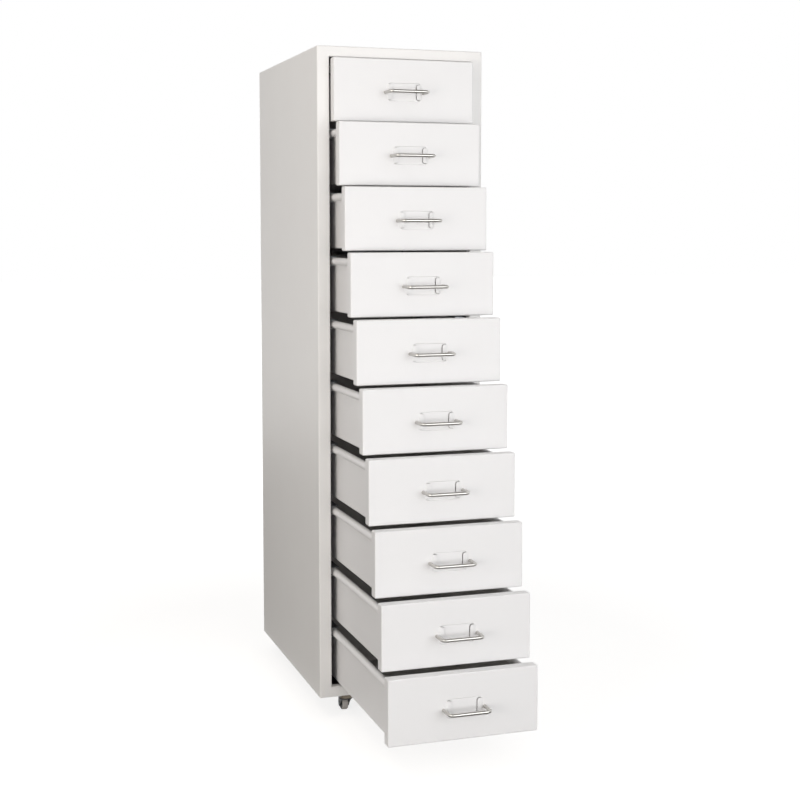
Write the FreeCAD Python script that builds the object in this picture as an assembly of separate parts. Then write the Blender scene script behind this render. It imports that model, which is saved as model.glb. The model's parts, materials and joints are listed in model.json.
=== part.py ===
import FreeCAD, Part
import math
import os

V = FreeCAD.Vector

# Steel drawer cabinet on four castors: a folded sheet body with ten equal
# drawers, each hung by the rolled top edges of its tray in C-shaped runners.
# Frame: X to the right, Y to the back, Z up. The origin is on the floor, in
# the middle of the body's plan. All sizes are in millimetres.

# ---------------------------------------------------------------- body sizes
body_width = 280.0
body_depth = 414.0
body_height = 1058.0
ground_clearance = 36.0
body_sheet = 1.0
body_fold_radius = 2.2
stile_width = 20.5
rail_height = 17.0
frame_return = 14.0
panel_flange = 13.0

# -------------------------------------------------------------- drawer sizes
drawer_count = 10
drawer_sheet = 0.8
face_gap = 2.2
face_side_gap = 1.7
front_depth = 18.0
front_fold_radius = 2.0
front_lip_side = 14.0
front_lip_edge = 8.0
tray_inset = 10.3
tray_lift = 3.2
tray_fold_radius = 1.6
tray_rear_gap = 14.0
tray_front_drop = 2.0
bead_radius = 6.0
bead_drop = 9.4
bead_shift = 1.8
bead_gap_angle = 25.0
bead_root_angle = 2.0
engaged_length = 80.0
first_opening = 18.0
last_reserve = 23.0

# ----------------------------------------------------- label seat and handle
seat_width = 53.0
seat_height = 29.0
seat_depth = 1.2
seat_corner_radius = 3.0
seat_drop = 52.0
tab_width = 6.0
tab_height = 24.0
tab_rise = 1.0
handle_spacing = 64.0
handle_rod = 5.5
handle_reach = 30.0
handle_bend_radius = 7.0
handle_drop = 53.0
screw_shank = 3.9
screw_grip = 8.0
screw_head_width = 8.0
screw_head_height = 2.4
screw_slot_width = 1.2
screw_slot_depth = 1.2
screw_clearance = 0.1
screw_access = 14.0

# -------------------------------------------------------------- runner sizes
runner_sheet = 1.0
runner_fold_radius = 1.6
runner_cover = 7.5
running_clearance = 0.3
runner_front_gap = 1.5
runner_rear_gap = 1.0
stop_ear_reach = 14.5
stop_ear_gap = 0.6
stop_tab_reach = 15.0
stop_clearance = 0.3

# ------------------------------------------------- back panel and its screws
panel_screw_row_step = 2
panel_screw_head = 7.0
panel_screw_head_height = 1.8
panel_screw_shank = 3.5
panel_screw_length = 9.0
cross_slot_length = 4.0
cross_slot_width = 0.9
cross_slot_depth = 0.9
button_rounding = 0.6

# -------------------------------------------------------------- castor sizes
castor_inset_side = 52.0
castor_inset_front = 28.0
castor_trail = 12.0
castor_plate_size = 38.0
castor_plate_sheet = 2.0
castor_plate_corner = 4.0
castor_hole_spacing = 28.0
castor_screw_shank = 3.9
castor_screw_head = 7.5
castor_screw_head_height = 2.0
castor_screw_length = 9.0
race_diameter = 22.0
race_foot_diameter = 27.0
kingpin_diameter = 5.0
kingpin_head_diameter = 8.5
kingpin_head_height = 1.0
kingpin_top_cover = 1.5
pin_clearance = 0.05
swivel_clearance = 0.3
fork_sheet = 1.5
fork_fold_radius = 2.5
fork_inner_width = 13.6
crown_radius = 11.5
cheek_nose_radius = 5.0
cheek_front_reach = 7.0
cheek_rear_reach = 3.0
axle_diameter = 3.0
axle_head_diameter = 5.0
axle_head_height = 0.9
wheel_diameter = 22.0
wheel_width = 11.0
wheel_edge_radius = 2.5
wheel_hub_diameter = 8.0
wheel_recess_diameter = 15.0
wheel_recess_depth = 1.5
hub_clearance = 0.3
wheel_top_clearance = 1.2

# ------------------------------------------------------------- derived places
half_width = body_width / 2
y_front = -body_depth / 2
y_back = body_depth / 2
z_bottom = ground_clearance
z_top = ground_clearance + body_height
x_inner = half_width - body_sheet
opening_half = half_width - stile_width
opening_bottom = z_bottom + rail_height
opening_top = z_top - rail_height
opening_height = opening_top - opening_bottom

front_height = (opening_height - (drawer_count + 1) * face_gap) / drawer_count
front_pitch = front_height + face_gap
front_half = opening_half - face_side_gap
tray_half = front_half - tray_inset
tray_length = body_depth - tray_rear_gap
tray_bottom = -front_height + tray_lift
bead_x = -tray_half - bead_shift
bead_z = -bead_drop - bead_radius
travel = tray_length - engaged_length
opening_step = (travel - first_opening - last_reserve) / (drawer_count - 1)

channel_top = bead_z + bead_radius + running_clearance
channel_bottom = bead_z - bead_radius - running_clearance


def face_top(row):
    """Height of the top of the drawer front in a row, counted from 0 at the top."""
    return opening_top - face_gap - row * front_pitch


def opened(row):
    """How far the drawer of a row stands out of the body."""
    return first_opening + row * opening_step


# ------------------------------------------------------------- shape helpers
def box(x0, x1, y0, y1, z0, z1):
    return Part.makeBox(x1 - x0, y1 - y0, z1 - z0, V(x0, y0, z0))


def cylinder(radius, start, direction, length):
    return Part.makeCylinder(radius, length, start, direction)


def fuse(shapes):
    joined = shapes[0].multiFuse(shapes[1:])
    return joined.removeSplitter()


def mirrored(shape):
    """The same shape on the other side of the middle plane X = 0."""
    return shape.mirror(V(0, 0, 0), V(1, 0, 0))


def moved(shape, x, y, z):
    copy = shape.copy()
    copy.translate(V(x, y, z))
    return copy


def plan(a, b):
    return V(a, b, 0)


def section(a, b):
    return V(a, 0, b)


def side_section(a, b):
    return V(0, a, b)


def rounded_line(points, radius, to_space):
    """Edges along 2-D points, with a tangent arc at each inner point."""
    corners = [FreeCAD.Vector(a, b, 0) for a, b in points]
    edges = []
    start = corners[0]
    for before, corner, after in zip(corners, corners[1:], corners[2:]):
        inward = (before - corner).normalize()
        outward = (after - corner).normalize()
        half_angle = inward.getAngle(outward) / 2
        setback = radius / math.tan(half_angle)
        middle = (inward + outward).normalize()
        centre = corner + middle * (radius / math.sin(half_angle))
        first = corner + inward * setback
        second = corner + outward * setback
        crest = centre - middle * radius
        edges.append(Part.LineSegment(to_space(start.x, start.y), to_space(first.x, first.y)).toShape())
        arc = Part.Arc(to_space(first.x, first.y), to_space(crest.x, crest.y), to_space(second.x, second.y))
        edges.append(arc.toShape())
        start = second
    end = corners[-1]
    edges.append(Part.LineSegment(to_space(start.x, start.y), to_space(end.x, end.y)).toShape())
    return edges


def inner_points(points, sheet):
    """The inner skin of a sheet whose outer skin follows the points and bends one way."""
    corners = [FreeCAD.Vector(a, b, 0) for a, b in points]
    runs = [(after - before).normalize() for before, after in zip(corners, corners[1:])]
    turn = math.copysign(1, runs[0].cross(runs[1]).z)
    normals = [FreeCAD.Vector(-run.y, run.x, 0) * turn for run in runs]
    shifted = [corners[0] + normals[0] * sheet]
    for corner, left, right in zip(corners[1:-1], normals, normals[1:]):
        shifted.append(corner + (left + right) * (sheet / (1 + left.dot(right))))
    shifted.append(corners[-1] + normals[-1] * sheet)
    return [(point.x, point.y) for point in shifted]


def folded_sheet(points, sheet, radius, to_space, start, reach):
    """A sheet folded along its outer skin's points, extruded by reach from start."""
    inside = inner_points(points, sheet)
    outer = rounded_line(points, radius, to_space)
    inner = rounded_line(inside[::-1], radius - sheet, to_space)
    far_cap = Part.LineSegment(to_space(*points[-1]), to_space(*inside[-1])).toShape()
    near_cap = Part.LineSegment(to_space(*inside[0]), to_space(*points[0])).toShape()
    wire = Part.Wire(outer + [far_cap] + inner + [near_cap])
    solid = Part.Face(wire).extrude(reach)
    solid.translate(start)
    return solid


def rounded_plate(width, height, radius, y0, y1, centre_z):
    """An upright plate about X = 0 with round corners, from y0 back to y1."""
    a = width / 2
    b = height / 2
    corners = [(0, -b), (a, -b), (a, b), (-a, b), (-a, -b), (0, -b)]
    wire = Part.Wire(rounded_line(corners, radius, section))
    plate = Part.Face(wire).extrude(V(0, y1 - y0, 0))
    plate.translate(V(0, y0, centre_z))
    return plate


def export(shapes, name):
    """Writes one node; several solids share it as separate pieces."""
    shape = shapes[0] if len(shapes) == 1 else Part.makeCompound(shapes)
    if any(not solid.isValid() for solid in shape.Solids):
        print("invalid solid in", name)
    if len(shape.Solids) != len(shapes):
        print("node", name, "has", len(shape.Solids), "solids for", len(shapes), "pieces")
    shape.exportStep("parts/" + name + ".step")


# ---------------------------------------------------------------- body panels
def left_side_panel():
    """Side sheet with the front stile, its return and the rear flange folded from it.

    The return runs along the drawer opening only, so that the rails meet the
    stile in one flat plane above and below it."""
    rear_flange = [(-half_width, y_back), (-half_width + panel_flange, y_back)]
    stile = [(-opening_half, y_front), (-half_width, y_front)]
    with_return = [(-opening_half, y_front + frame_return)] + stile + rear_flange
    middle = folded_sheet(with_return, body_sheet, body_fold_radius, plan,
                          V(0, 0, opening_bottom), V(0, 0, opening_height))
    lower = folded_sheet(stile + rear_flange, body_sheet, body_fold_radius, plan,
                         V(0, 0, z_bottom), V(0, 0, rail_height))
    upper = moved(lower, 0, 0, opening_top - z_bottom)
    panel = fuse([middle, lower, upper])
    for x, z in panel_screw_places():
        if x < 0:
            panel = panel.cut(panel_screw_hole(x, z))
    return panel


def rail_panel(outer_z, opening_z, flange_direction):
    """Top or base sheet with a front rail, its return, side flanges and a rear flange."""
    y_rear = y_back - 2 * body_sheet
    rear_z = outer_z + flange_direction * panel_flange
    path = [(y_front + frame_return, opening_z), (y_front, opening_z), (y_front, outer_z),
            (y_rear, outer_z), (y_rear, rear_z)]
    rail = folded_sheet(path, body_sheet, body_fold_radius, side_section,
                        V(-opening_half, 0, 0), V(2 * opening_half, 0, 0))
    path = [(-x_inner, rear_z), (-x_inner, outer_z), (x_inner, outer_z), (x_inner, rear_z)]
    floor = folded_sheet(path, body_sheet, body_fold_radius, section,
                         V(0, y_front + body_sheet, 0),
                         V(0, y_rear - body_sheet - y_front - body_sheet, 0))
    relief = side_bend_relief()
    return fuse([rail, floor]).cut(relief).cut(mirrored(relief))


def side_bend_relief():
    """Prism that keeps a rail panel's front corner out of the side sheet's inner bend."""
    bend = body_fold_radius - body_sheet
    y_inner = y_front + body_sheet
    corner = [plan(-x_inner, y_inner), plan(-x_inner + bend, y_inner), plan(-x_inner, y_inner + bend)]
    prism = Part.Face(Part.makePolygon(corner + corner[:1])).extrude(V(0, 0, body_height))
    prism.translate(V(0, 0, z_bottom))
    return prism


def top_panel():
    return rail_panel(z_top, opening_top, -1)


def base_panel():
    panel = rail_panel(z_bottom, opening_bottom, 1)
    for x, y in castor_screw_places():
        hole = cylinder(castor_screw_shank / 2 + screw_clearance / 2,
                        V(x, y, z_bottom - body_sheet), V(0, 0, 1), 3 * body_sheet)
        panel = panel.cut(hole)
    return panel


def back_panel():
    """Flat sheet held between the rear flanges of the sides and those of top and base."""
    half = half_width - body_fold_radius
    panel = box(-half, half, y_back - 2 * body_sheet, y_back - body_sheet, z_bottom, z_top)
    for x, z in panel_screw_places():
        panel = panel.cut(panel_screw_hole(x, z))
    return panel


def panel_screw_places():
    """X and Z of the screws down the two rear flanges, each level with a gap between fronts."""
    column = half_width - panel_flange / 2
    rows = range(0, drawer_count + 1, panel_screw_row_step)
    return [(x, face_top(row) + face_gap / 2) for x in (-column, column) for row in rows]


def panel_screw_hole(x, z):
    return cylinder(panel_screw_shank / 2 + screw_clearance / 2,
                    V(x, y_back + body_sheet, z), V(0, -1, 0), 4 * body_sheet)


def panel_screw(x, z):
    """Button-head screw with a cross slot, driven forward through flange and back panel."""
    head = cylinder(panel_screw_head / 2, V(x, y_back, z), V(0, 1, 0), panel_screw_head_height)
    rim = [edge for edge in head.Edges if edge.BoundBox.YMin > y_back + panel_screw_head_height / 2]
    head = head.makeFillet(panel_screw_head_height * button_rounding, rim[:1])
    shank = cylinder(panel_screw_shank / 2, V(x, y_back, z), V(0, -1, 0), panel_screw_length)
    crest = y_back + panel_screw_head_height
    y0 = crest - cross_slot_depth
    y1 = crest + cross_slot_depth
    long = cross_slot_length / 2
    short = cross_slot_width / 2
    cross = fuse([box(x - long, x + long, y0, y1, z - short, z + short),
                  box(x - short, x + short, y0, y1, z - long, z + long)])
    return fuse([head, shank]).cut(cross)


# -------------------------------------------------------------------- runners
def left_runner():
    """C-channel for one drawer's left bead, as if the front's top were at Z = 0.

    Two tabs bent in from its web stop the tray's rear ear at each end of the travel."""
    top = channel_top + runner_sheet
    bottom = channel_bottom - runner_sheet
    path = [(bead_x + runner_cover, top), (-x_inner, top), (-x_inner, bottom),
            (-tray_half - running_clearance, bottom)]
    y0 = y_front + front_depth + runner_front_gap
    y1 = y_back - 2 * body_sheet - runner_rear_gap
    channel = folded_sheet(path, runner_sheet, runner_fold_radius, section, V(0, y0, 0), V(0, y1 - y0, 0))
    web = -x_inner + runner_sheet
    tab_z0 = channel_bottom + runner_sheet
    tab_z1 = channel_top - runner_sheet
    ear_front = y_front + tray_length - drawer_sheet
    open_stop = ear_front - travel - stop_clearance
    closed_stop = y_front + tray_length + stop_clearance
    tabs = [box(-x_inner, web + stop_tab_reach, open_stop - runner_sheet, open_stop, tab_z0, tab_z1),
            box(-x_inner, web + stop_tab_reach, closed_stop, closed_stop + runner_sheet, tab_z0, tab_z1)]
    return fuse([channel] + tabs)


# -------------------------------------------------------------------- drawers
# A drawer is drawn closed: its front's top is at Z = 0 and its face at Y = y_front.
def left_bead():
    """Rolled edge along the top of the tray's left wall, open beside the wall."""
    outer = bead_radius
    inner = bead_radius - drawer_sheet
    wall_angle = -math.degrees(math.acos(bead_shift / outer)) - bead_root_angle
    end_angle = wall_angle + 360 - bead_gap_angle
    middle_angle = (wall_angle + end_angle) / 2

    def at(radius, angle):
        turn = math.radians(angle)
        return section(bead_x + radius * math.cos(turn), bead_z + radius * math.sin(turn))

    edges = [Part.Arc(at(outer, wall_angle), at(outer, middle_angle), at(outer, end_angle)).toShape(),
             Part.LineSegment(at(outer, end_angle), at(inner, end_angle)).toShape(),
             Part.Arc(at(inner, end_angle), at(inner, middle_angle), at(inner, wall_angle)).toShape(),
             Part.LineSegment(at(inner, wall_angle), at(outer, wall_angle)).toShape()]
    roll = Part.Face(Part.Wire(edges)).extrude(V(0, tray_length - front_depth, 0))
    roll.translate(V(0, y_front + front_depth, 0))
    return roll


def tray():
    """Floor and sides folded from one sheet, with end walls, beads and two stop ears."""
    y0 = y_front + front_depth
    y1 = y_front + tray_length
    skin = bead_radius - drawer_sheet / 2
    wall_top = bead_z - math.sqrt(skin ** 2 - (bead_shift + drawer_sheet / 2) ** 2)
    path = [(-tray_half, wall_top), (-tray_half, tray_bottom),
            (tray_half, tray_bottom), (tray_half, wall_top)]
    trough = folded_sheet(path, drawer_sheet, tray_fold_radius, section, V(0, y0, 0), V(0, y1 - y0, 0))
    wall_foot = tray_bottom + drawer_sheet / 2
    wall_half = tray_half - drawer_sheet / 2
    front_wall = box(-wall_half, wall_half, y0, y0 + drawer_sheet, wall_foot, -tray_front_drop)
    for x in (-handle_spacing / 2, handle_spacing / 2):
        access = cylinder(screw_access / 2, V(x, y0 - drawer_sheet, -handle_drop),
                          V(0, 1, 0), 3 * drawer_sheet)
        front_wall = front_wall.cut(access)
    back_wall = box(-wall_half, wall_half, y1 - drawer_sheet, y1, wall_foot, -bead_drop)
    ear_end = -tray_half - stop_ear_reach - bead_radius
    ear = box(ear_end, -wall_half, y1 - drawer_sheet, y1,
              channel_bottom + stop_ear_gap, channel_top - stop_ear_gap)
    bead = left_bead()
    return fuse([trough, front_wall, back_wall, ear, mirrored(ear), bead, mirrored(bead)])


def pan(inset, depth):
    """Block of the front's outline, with its front and corner edges rounded."""
    radius = front_fold_radius - inset
    block = box(-front_half + inset, front_half - inset, y_front + inset, y_front + depth,
                -front_height + inset, -inset)
    rear = y_front + depth
    edges = [edge for edge in block.Edges if edge.BoundBox.YMin < rear - depth / 2]
    return block.makeFillet(radius, edges)


def drawer_front():
    """Folded steel pan with rear lips, a pressed label seat and two lanced label tabs."""
    shell = pan(0, front_depth).cut(pan(drawer_sheet, front_depth - drawer_sheet))
    window = box(-front_half + front_lip_side, front_half - front_lip_side,
                 y_front + front_depth - 2 * drawer_sheet, y_front + front_depth + drawer_sheet,
                 -front_height + front_lip_edge, -front_lip_edge)
    shell = shell.cut(window)
    bed = rounded_plate(seat_width + 2 * drawer_sheet, seat_height + 2 * drawer_sheet,
                        seat_corner_radius + drawer_sheet,
                        y_front, y_front + seat_depth + drawer_sheet, -seat_drop)
    pocket = rounded_plate(seat_width, seat_height, seat_corner_radius,
                           y_front - tab_rise, y_front + seat_depth, -seat_drop)
    shell = fuse([shell, bed]).cut(pocket)
    z0 = -seat_drop - tab_height / 2
    z1 = -seat_drop + tab_height / 2
    end = seat_width / 2
    for side in (-1, 1):
        left = min(side * end, side * (end - tab_width))
        blank = box(left, left + tab_width, y_front, y_front + seat_depth + 2 * drawer_sheet, z0, z1)
        shell = shell.cut(blank)
        root = min(side * end, side * (end + drawer_sheet))
        step = box(root, root + drawer_sheet, y_front - tab_rise, y_front + drawer_sheet, z0, z1)
        tab = box(left, left + tab_width, y_front - tab_rise, y_front - tab_rise + drawer_sheet, z0, z1)
        free_edge = side * (end - tab_width)
        corners = [edge for edge in tab.Edges
                   if abs(edge.CenterOfMass.x - free_edge) < 0.01 and edge.BoundBox.ZLength < 0.01]
        tab = tab.makeFillet(tab_width / 3, corners)
        shell = fuse([shell, step, tab])
    for x in (-handle_spacing / 2, handle_spacing / 2):
        hole = cylinder(screw_shank / 2 + screw_clearance / 2,
                        V(x, y_front - drawer_sheet, -handle_drop), V(0, 1, 0), 3 * drawer_sheet)
        shell = shell.cut(hole)
    return shell


def handle():
    """Bail of round rod, with a tapped hole in the end of each leg."""
    leg = handle_spacing / 2
    bar = y_front - handle_reach + handle_rod / 2
    path = [(-leg, y_front), (-leg, bar), (leg, bar), (leg, y_front)]
    spine = Part.Wire(rounded_line(path, handle_bend_radius, plan))
    circle = Part.Wire([Part.makeCircle(handle_rod / 2, V(-leg, y_front, 0), V(0, 1, 0))])
    rod = spine.makePipeShell([circle], True, False)
    rod.translate(V(0, 0, -handle_drop))
    for x in (-leg, leg):
        bore = cylinder(screw_shank / 2 + screw_clearance / 2,
                        V(x, y_front, -handle_drop), V(0, -1, 0), screw_grip + screw_clearance)
        rod = rod.cut(bore)
    return rod


def handle_screw(x):
    """Pan-head screw from inside the front into one leg of the handle."""
    seat = y_front + drawer_sheet
    shank = cylinder(screw_shank / 2, V(x, seat, -handle_drop), V(0, -1, 0), screw_grip + drawer_sheet)
    head = cylinder(screw_head_width / 2, V(x, seat, -handle_drop), V(0, 1, 0), screw_head_height)
    rim = [edge for edge in head.Edges if edge.BoundBox.YMin > seat + screw_head_height / 2]
    head = head.makeFillet(screw_head_height / 2, rim[:1])
    crest = seat + screw_head_height
    slot = box(x - screw_head_width, x + screw_head_width, crest - screw_slot_depth, crest + screw_slot_depth,
               -handle_drop - screw_slot_width / 2, -handle_drop + screw_slot_width / 2)
    return fuse([head, shank]).cut(slot)


# -------------------------------------------------------------------- castors
# A castor is drawn about its swivel axis at X = Y = 0, trailing to the back.
wheel_radius = wheel_diameter / 2
fork_top = wheel_diameter + wheel_top_clearance + fork_sheet
race_bottom = fork_top + swivel_clearance
plate_bottom = z_bottom - castor_plate_sheet
kingpin_top = plate_bottom - kingpin_top_cover


def castor_places():
    """Name and swivel position of each castor."""
    x = half_width - castor_inset_side
    y = body_depth / 2 - castor_inset_front
    return [("front_left", -x, -y), ("front_right", x, -y), ("rear_left", -x, y), ("rear_right", x, y)]


def castor_screw_places():
    half = castor_hole_spacing / 2
    return [(x + a, y + b) for name, x, y in castor_places() for a in (-half, half) for b in (-half, half)]


def castor_plate():
    """Top plate with the fixed half of the swivel race below it."""
    half = castor_plate_size / 2
    corners = [(0, -half), (half, -half), (half, half), (-half, half), (-half, -half), (0, -half)]
    outline = Part.Wire(rounded_line(corners, castor_plate_corner, plan))
    plate = Part.Face(outline).extrude(V(0, 0, castor_plate_sheet))
    plate.translate(V(0, 0, plate_bottom))
    middle = (race_bottom + plate_bottom) / 2
    drum = cylinder(race_diameter / 2, V(0, 0, race_bottom), V(0, 0, 1), plate_bottom - race_bottom)
    foot = Part.makeCone(race_diameter / 2, race_foot_diameter / 2, plate_bottom - middle, V(0, 0, middle))
    bore = cylinder(kingpin_diameter / 2 + pin_clearance, V(0, 0, race_bottom), V(0, 0, 1),
                    kingpin_top + swivel_clearance - race_bottom)
    plate = fuse([plate, drum, foot]).cut(bore)
    half = castor_hole_spacing / 2
    for x in (-half, half):
        for y in (-half, half):
            hole = cylinder(castor_screw_shank / 2 + screw_clearance / 2,
                            V(x, y, plate_bottom - castor_plate_sheet), V(0, 0, 1), 3 * castor_plate_sheet)
            plate = plate.cut(hole)
    return plate


def castor_screw(x, y):
    head = cylinder(castor_screw_head / 2, V(x, y, plate_bottom), V(0, 0, -1), castor_screw_head_height)
    rim = [edge for edge in head.Edges if edge.BoundBox.ZMax < plate_bottom - castor_screw_head_height / 2]
    head = head.makeFillet(castor_screw_head_height * button_rounding, rim[:1])
    shank = cylinder(castor_screw_shank / 2, V(x, y, plate_bottom), V(0, 0, 1), castor_screw_length)
    return fuse([head, shank])


def fork():
    """Crown and two cheeks folded from one strip, cut to a nose round the axle."""
    outer = fork_inner_width / 2 + fork_sheet
    low = wheel_radius - 2 * cheek_nose_radius
    path = [(-outer, low), (-outer, fork_top), (outer, fork_top), (outer, low)]
    rear = castor_trail + 2 * cheek_nose_radius
    strip = folded_sheet(path, fork_sheet, fork_fold_radius, section,
                         V(0, -2 * crown_radius, 0), V(0, rear + 2 * crown_radius, 0))
    centre = V(0, castor_trail, wheel_radius)
    nose = cylinder(cheek_nose_radius, V(-2 * outer, centre.y, centre.z), V(1, 0, 0), 4 * outer)
    shoulder = fork_top - fork_sheet - fork_fold_radius
    above = fork_top + fork_sheet
    blade = [side_section(-cheek_front_reach, shoulder), side_section(centre.y - cheek_nose_radius, centre.z),
             side_section(centre.y + cheek_nose_radius, centre.z),
             side_section(centre.y + cheek_rear_reach, above), side_section(-cheek_front_reach, above)]
    blade = Part.Face(Part.makePolygon(blade + blade[:1])).extrude(V(4 * outer, 0, 0))
    blade.translate(V(-2 * outer, 0, 0))
    strip = strip.common(fuse([nose, blade]))
    crown = cylinder(crown_radius, V(0, 0, fork_top - fork_sheet), V(0, 0, 1), fork_sheet)
    body = fuse([strip, crown])
    body = body.cut(cylinder(kingpin_diameter / 2, V(0, 0, wheel_radius), V(0, 0, 1), fork_top))
    return body.cut(cylinder(axle_diameter / 2, V(-2 * outer, centre.y, centre.z), V(1, 0, 0), 4 * outer))


def kingpin():
    """Rivet that holds the fork's crown up in the race."""
    underside = fork_top - fork_sheet
    pin = cylinder(kingpin_diameter / 2, V(0, 0, underside), V(0, 0, 1), kingpin_top - underside)
    head = cylinder(kingpin_head_diameter / 2, V(0, 0, underside), V(0, 0, -1), kingpin_head_height)
    return fuse([pin, head])


def axle():
    """Rivet through both cheeks, with a domed head outside each."""
    outer = fork_inner_width / 2 + fork_sheet
    pin = cylinder(axle_diameter / 2, V(-outer, castor_trail, wheel_radius), V(1, 0, 0), 2 * outer)
    pieces = [pin]
    for side in (-1, 1):
        head = cylinder(axle_head_diameter / 2, V(side * outer, castor_trail, wheel_radius),
                        V(side, 0, 0), axle_head_height)
        tip = outer + axle_head_height / 2
        rim = [edge for edge in head.Edges if min(abs(edge.BoundBox.XMin), abs(edge.BoundBox.XMax)) > tip]
        pieces.append(head.makeFillet(axle_head_height * button_rounding, rim[:1]))
    return fuse(pieces)


def wheel():
    """Solid wheel with rounded tread edges, a recess in each side and a raised hub."""
    half = wheel_width / 2
    hub_half = fork_inner_width / 2 - hub_clearance
    disc = cylinder(wheel_radius, V(-half, castor_trail, wheel_radius), V(1, 0, 0), wheel_width)
    rims = [edge for edge in disc.Edges if edge.BoundBox.XLength < 0.01]
    disc = disc.makeFillet(wheel_edge_radius, rims)
    for side in (-1, 1):
        recess = cylinder(wheel_recess_diameter / 2, V(side * half, castor_trail, wheel_radius),
                          V(-side, 0, 0), wheel_recess_depth)
        disc = disc.cut(recess)
    hub = cylinder(wheel_hub_diameter / 2, V(-hub_half, castor_trail, wheel_radius), V(1, 0, 0), 2 * hub_half)
    bore = cylinder(axle_diameter / 2 + pin_clearance, V(-wheel_width, castor_trail, wheel_radius),
                    V(1, 0, 0), 2 * wheel_width)
    return fuse([disc, hub]).cut(bore)


# --------------------------------------------------------------------- export
os.makedirs("parts", exist_ok=True)

left_panel = left_side_panel()
export([left_panel], "left_side_panel")
export([mirrored(left_panel)], "right_side_panel")
export([top_panel()], "top_panel")
export([base_panel()], "base_panel")
export([back_panel()], "back_panel")
export([panel_screw(x, z) for x, z in panel_screw_places()], "panel_screws")

runner = left_runner()
export([moved(runner, 0, 0, face_top(row)) for row in range(drawer_count)], "left_runners")
export([moved(mirrored(runner), 0, 0, face_top(row)) for row in range(drawer_count)], "right_runners")

drawer_pieces = {
    "tray": [tray()],
    "front": [drawer_front()],
    "handle": [handle()],
    "handle_screws": [handle_screw(-handle_spacing / 2), handle_screw(handle_spacing / 2)],
}
for row in range(drawer_count):
    for piece, solids in drawer_pieces.items():
        placed = [moved(solid, 0, -opened(row), face_top(row)) for solid in solids]
        export(placed, "drawer_%02d_%s" % (row + 1, piece))

fork_solids = [fork(), kingpin(), axle()]
wheel_solid = wheel()
plate_solid = castor_plate()
export([moved(plate_solid, x, y, 0) for name, x, y in castor_places()], "castor_plates")
export([castor_screw(x, y) for x, y in castor_screw_places()], "castor_screws")
for name, x, y in castor_places():
    export([moved(solid, x, y, 0) for solid in fork_solids], "castor_%s_fork" % name)
    export([moved(wheel_solid, x, y, 0)], "castor_%s_wheel" % name)

print("front height %.2f, pitch %.2f, travel %.1f, opening step %.2f" % (
    front_height, front_pitch, travel, opening_step))
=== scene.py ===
import json
import math

import bmesh
import bpy
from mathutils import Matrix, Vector

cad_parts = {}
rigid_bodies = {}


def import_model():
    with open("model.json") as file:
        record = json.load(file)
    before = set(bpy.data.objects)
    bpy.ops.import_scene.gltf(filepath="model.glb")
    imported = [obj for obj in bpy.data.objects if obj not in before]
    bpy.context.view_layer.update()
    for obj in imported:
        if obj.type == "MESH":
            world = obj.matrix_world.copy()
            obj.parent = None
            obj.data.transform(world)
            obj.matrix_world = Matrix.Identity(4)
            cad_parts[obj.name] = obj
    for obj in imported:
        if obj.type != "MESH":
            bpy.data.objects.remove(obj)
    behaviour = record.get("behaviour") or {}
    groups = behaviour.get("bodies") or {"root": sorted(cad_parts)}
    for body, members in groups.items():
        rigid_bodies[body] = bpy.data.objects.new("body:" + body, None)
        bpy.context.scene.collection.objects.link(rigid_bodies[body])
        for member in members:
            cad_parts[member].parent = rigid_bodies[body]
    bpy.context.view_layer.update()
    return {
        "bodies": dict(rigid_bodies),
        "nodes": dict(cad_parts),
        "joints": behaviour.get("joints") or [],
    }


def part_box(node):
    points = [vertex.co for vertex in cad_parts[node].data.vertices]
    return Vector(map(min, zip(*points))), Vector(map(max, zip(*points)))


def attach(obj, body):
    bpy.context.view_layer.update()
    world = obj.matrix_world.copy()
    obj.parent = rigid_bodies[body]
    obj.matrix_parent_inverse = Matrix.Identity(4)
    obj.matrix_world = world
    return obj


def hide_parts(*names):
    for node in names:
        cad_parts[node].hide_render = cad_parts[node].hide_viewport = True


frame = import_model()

MM = 0.001


# ------------------------------------------------------------- cabinet body
# The welded body: two side sheets, a top and a base of 1 mm steel, folded so
# that stiles and rails make one flat frame round the drawers. The corner
# welds are ground flush before coating, so the frame shows no seams.
body_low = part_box("left_side_panel")[0]
body_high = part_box("right_side_panel")[1]
stile_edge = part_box("left_side_panel")[1].x
opening_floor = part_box("base_panel")[1].z
opening_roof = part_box("top_panel")[0].z
body_sheet = 1.0 * MM
body_fold = 2.2 * MM
frame_return = 14 * MM
rear_flange = 13 * MM


def deselect():
    if bpy.context.mode != "OBJECT":
        bpy.ops.object.mode_set(mode="OBJECT")
    bpy.ops.object.select_all(action="DESELECT")


def select_only(piece):
    deselect()
    piece.select_set(True)
    bpy.context.view_layer.objects.active = piece


def open_for_editing(piece):
    select_only(piece)
    bpy.ops.object.mode_set(mode="EDIT")


def close_editing():
    bpy.ops.object.mode_set(mode="OBJECT")


def settle(piece, name):
    """Names a new piece and moves its place, turn and scale into its mesh."""
    piece.name = name
    piece.data.name = name
    bpy.ops.object.transform_apply(location=True, rotation=True, scale=True)
    return piece


def new_block(name, low, high):
    """A cube primitive between two corners."""
    deselect()
    low, high = Vector(low), Vector(high)
    bpy.ops.mesh.primitive_cube_add(size=1, location=(low + high) / 2, scale=high - low)
    return settle(bpy.context.object, name)


def pick(piece, kind, wanted):
    """In edit mode, selects just the parts of a kind (EDGE or FACE) that are wanted."""
    bpy.context.tool_settings.mesh_select_mode = (False, kind == "EDGE", kind == "FACE")
    bpy.ops.mesh.select_all(action="DESELECT")
    mesh = bmesh.from_edit_mesh(piece.data)
    for part in mesh.edges if kind == "EDGE" else mesh.faces:
        if wanted(part):
            part.select_set(True)
    mesh.select_flush_mode()
    bmesh.update_edit_mesh(piece.data)


def middle(edge):
    return (edge.verts[0].co + edge.verts[1].co) / 2


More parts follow.
